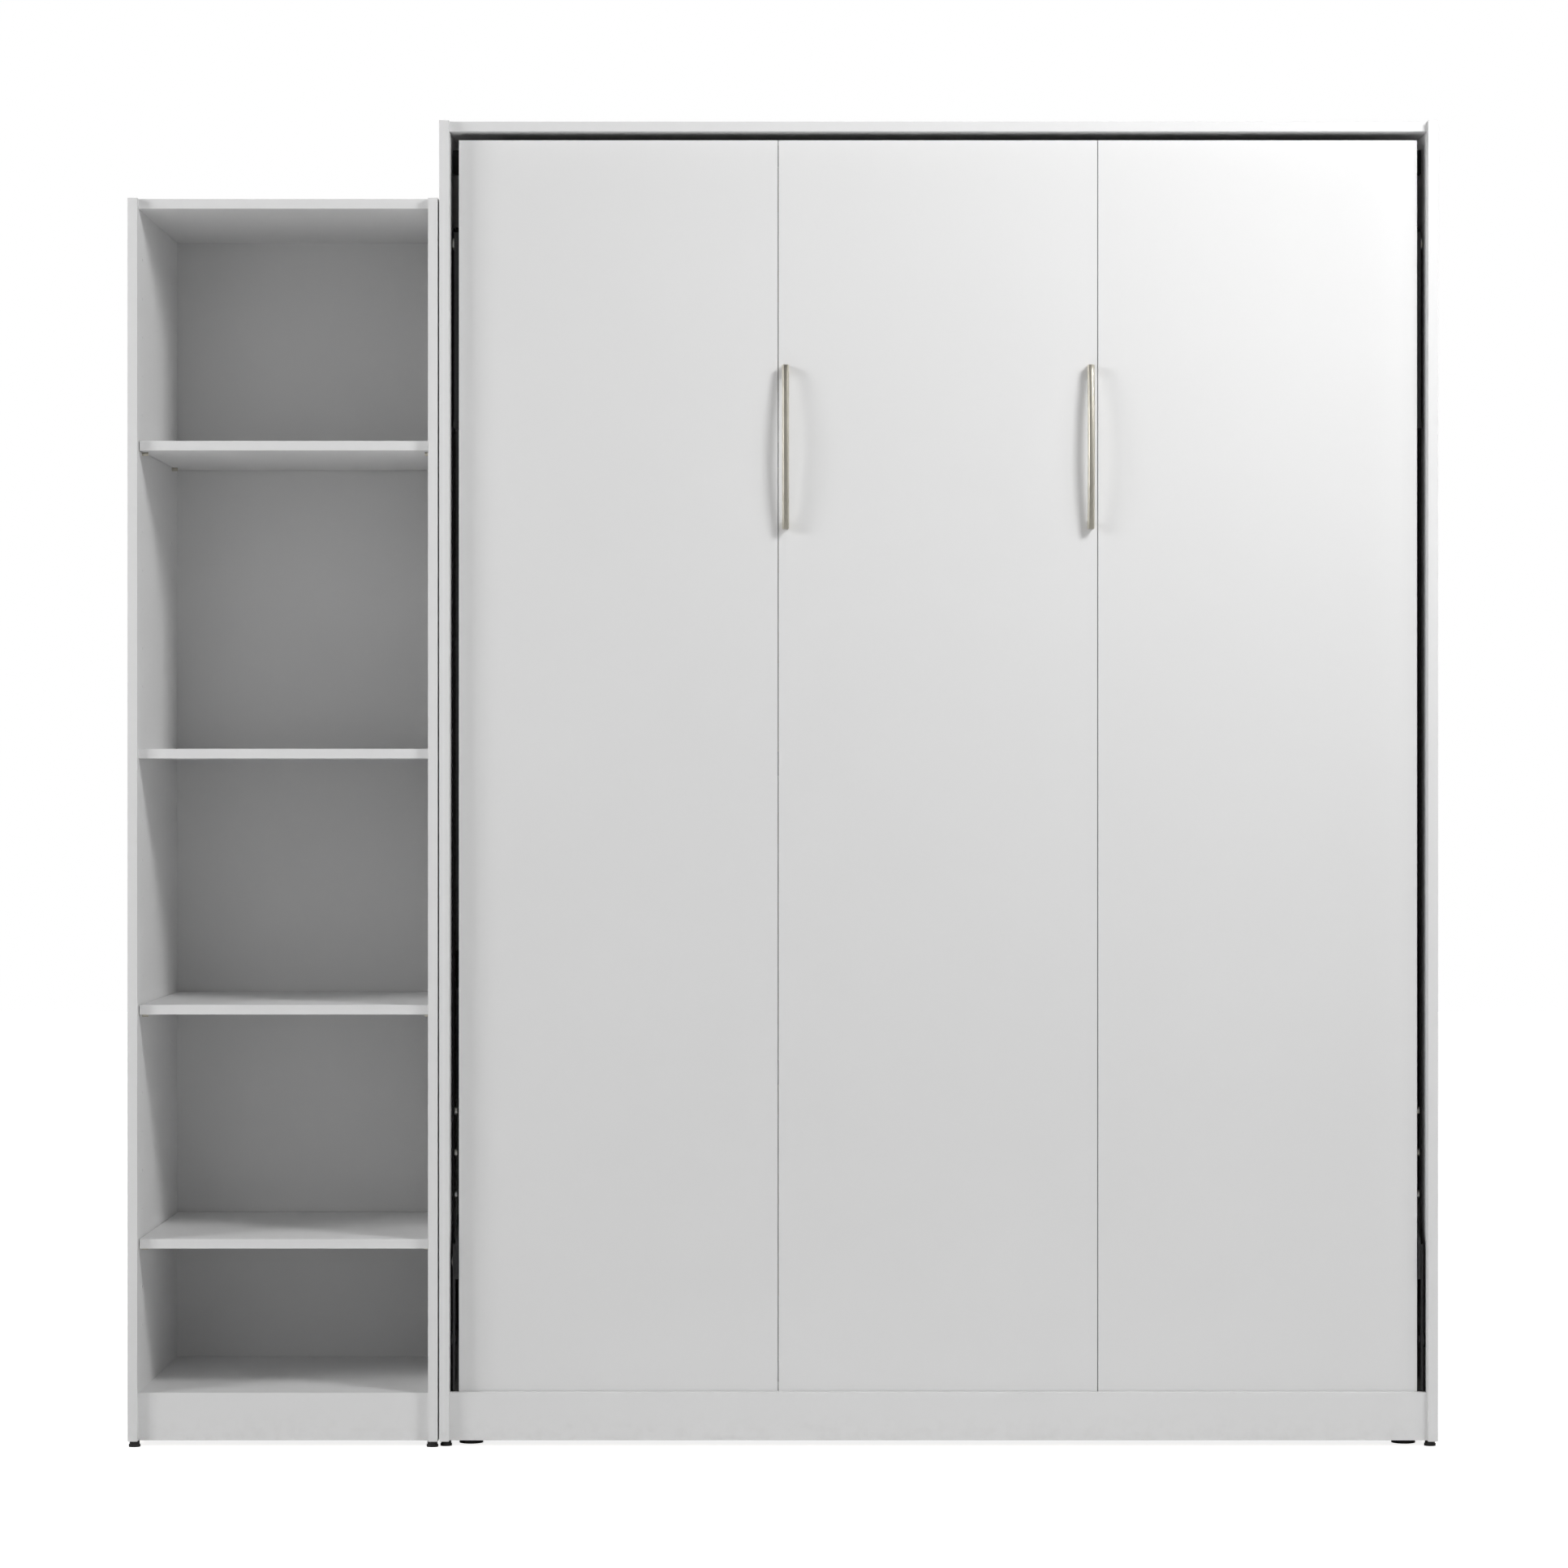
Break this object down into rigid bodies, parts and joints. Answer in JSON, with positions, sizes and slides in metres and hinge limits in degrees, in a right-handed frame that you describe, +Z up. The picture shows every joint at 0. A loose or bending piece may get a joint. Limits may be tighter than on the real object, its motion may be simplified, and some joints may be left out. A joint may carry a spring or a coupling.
{
  "type": "wall bed",
  "caption": "Wall bed that tilts down out of an upright white cabinet on a low axis, with self-setting legs, gas struts, a mattress, and an open shelving unit bolted on at its side.",
  "frame": {"origin": "on the floor, under the middle of the whole set's box with the bed closed", "axes": "+X to the right seen from the front, +Y from the front to the wall, +Z up"},
  "size_m": [2.172, 0.495, 2.2],
  "materials": {
    "white_board": "matt white melamine on particle board",
    "back_board": "matt white foil on thin fibreboard",
    "black_steel": "black powder coat",
    "black_plastic": "moulded black plastic",
    "stop_rubber": "black rubber",
    "zinc_steel": "zinc plated",
    "rod_chrome": "ground and polished",
    "satin_nickel": "satin nickel",
    "birch": "bent beech and birch ply, clear lacquer",
    "mattress_ticking": "quilted knitted ticking",
    "strap_webbing": "woven polyester webbing"
  },
  "bodies": {
    "cabinet": {"bed_side_left": "white_board", "bed_side_right": "white_board", "bed_top": "white_board", "bed_kick_board": "white_board", "headboard": "white_board", "rear_rail_upper": "white_board", "rear_rail_lower": "white_board", "pivot_plates": "black_steel", "plate_screws": "zinc_steel", "pivot_bolts": "zinc_steel", "levelling_feet": "black_plastic", "strut_brackets": "black_steel", "closing_stops": "stop_rubber", "panel_glides": "black_plastic", "cam_fittings": "zinc_steel", "unit_side_lower_left": "white_board", "unit_side_lower_right": "white_board", "unit_side_upper_left": "white_board", "unit_side_upper_right": "white_board", "unit_top": "white_board", "unit_fixed_shelf": "white_board", "unit_bottom_shelf": "white_board", "unit_shelf_upper": "white_board", "unit_shelf_middle": "white_board", "unit_shelf_lower": "white_board", "shelf_pins": "zinc_steel", "unit_kick_board": "white_board", "unit_back_upper": "back_board", "unit_back_lower": "back_board", "connector_bolts": "zinc_steel"},
    "bed": {"face_panel_left": "white_board", "face_panel_middle": "white_board", "face_panel_right": "white_board", "face_screws": "zinc_steel", "handle_left": "satin_nickel", "handle_right": "satin_nickel", "handle_screws": "zinc_steel", "frame_rail_left": "black_steel", "frame_rail_right": "black_steel", "frame_rail_head": "black_steel", "frame_rail_foot": "black_steel", "cross_member_low": "black_steel", "cross_member_mid": "black_steel", "cross_member_high": "black_steel", "centre_rail": "black_steel", "slats": "birch", "slat_holders": "black_plastic", "pivot_arms": "black_steel", "frame_bolts": "zinc_steel", "mattress": "mattress_ticking", "mattress_straps": "strap_webbing", "mattress_stops": "black_steel"},
    "leg_left": {"leg_left": "black_steel"},
    "link_left": {"link_left": "black_steel"},
    "strut_cylinder_left": {"strut_cylinder_left": "black_steel"},
    "strut_rod_left": {"strut_rod_left": "rod_chrome"},
    "leg_right": {"leg_right": "black_steel"},
    "link_right": {"link_right": "black_steel"},
    "strut_cylinder_right": {"strut_cylinder_right": "black_steel"},
    "strut_rod_right": {"strut_rod_right": "rod_chrome"}
  },
  "joints": [
    {"name": "bed_tilt", "type": "hinge", "parent": "cabinet", "child": "bed", "pos_m": [0.25825, -0.1825, 0.303], "axis": [1, 0, 0], "range_deg": [0, 90]},
    {"name": "leg_left_fold", "type": "hinge", "parent": "bed", "child": "leg_left", "pos_m": [-0.545, -0.1765, 2.003], "axis": [1, 0, 0], "range_deg": [-90, 0]},
    {"name": "link_left_swing", "type": "hinge", "parent": "leg_left", "child": "link_left", "pos_m": [-0.5512, -0.1555, 2.024], "axis": [1, 0, 0], "range_deg": [0, 90]},
    {"name": "strut_left_swing", "type": "hinge", "parent": "cabinet", "child": "strut_cylinder_left", "pos_m": [-0.5255, -0.0555, 0.786], "axis": [1, 0, 0], "range_deg": [0, 4.44]},
    {"name": "strut_left_stroke", "type": "slide", "parent": "strut_cylinder_left", "child": "strut_rod_left", "axis": [0, 0.0941, 0.9956], "range_m": [0, 0.19283]},
    {"name": "leg_right_fold", "type": "hinge", "parent": "bed", "child": "leg_right", "pos_m": [1.0615, -0.1765, 2.003], "axis": [1, 0, 0], "range_deg": [-90, 0]},
    {"name": "link_right_swing", "type": "hinge", "parent": "leg_right", "child": "link_right", "pos_m": [1.0677, -0.1555, 2.024], "axis": [1, 0, 0], "range_deg": [0, 90]},
    {"name": "strut_right_swing", "type": "hinge", "parent": "cabinet", "child": "strut_cylinder_right", "pos_m": [1.042, -0.0555, 0.786], "axis": [1, 0, 0], "range_deg": [0, 4.44]},
    {"name": "strut_right_stroke", "type": "slide", "parent": "strut_cylinder_right", "child": "strut_rod_right", "axis": [0, 0.0941, 0.9956], "range_m": [0, 0.19283]}
  ],
  "couplings": [
    {"joint": "leg_left_fold", "follows": "bed_tilt", "ratio": -1},
    {"joint": "link_left_swing", "follows": "bed_tilt", "ratio": 1},
    {"joint": "strut_left_swing", "follows": "bed_tilt", "ratio": 0.049211},
    {"joint": "strut_left_stroke", "follows": "bed_tilt", "m_per_rad": 0.12263},
    {"joint": "leg_right_fold", "follows": "bed_tilt", "ratio": -1},
    {"joint": "link_right_swing", "follows": "bed_tilt", "ratio": 1},
    {"joint": "strut_right_swing", "follows": "bed_tilt", "ratio": 0.049211},
    {"joint": "strut_right_stroke", "follows": "bed_tilt", "m_per_rad": 0.12263}
  ]
}
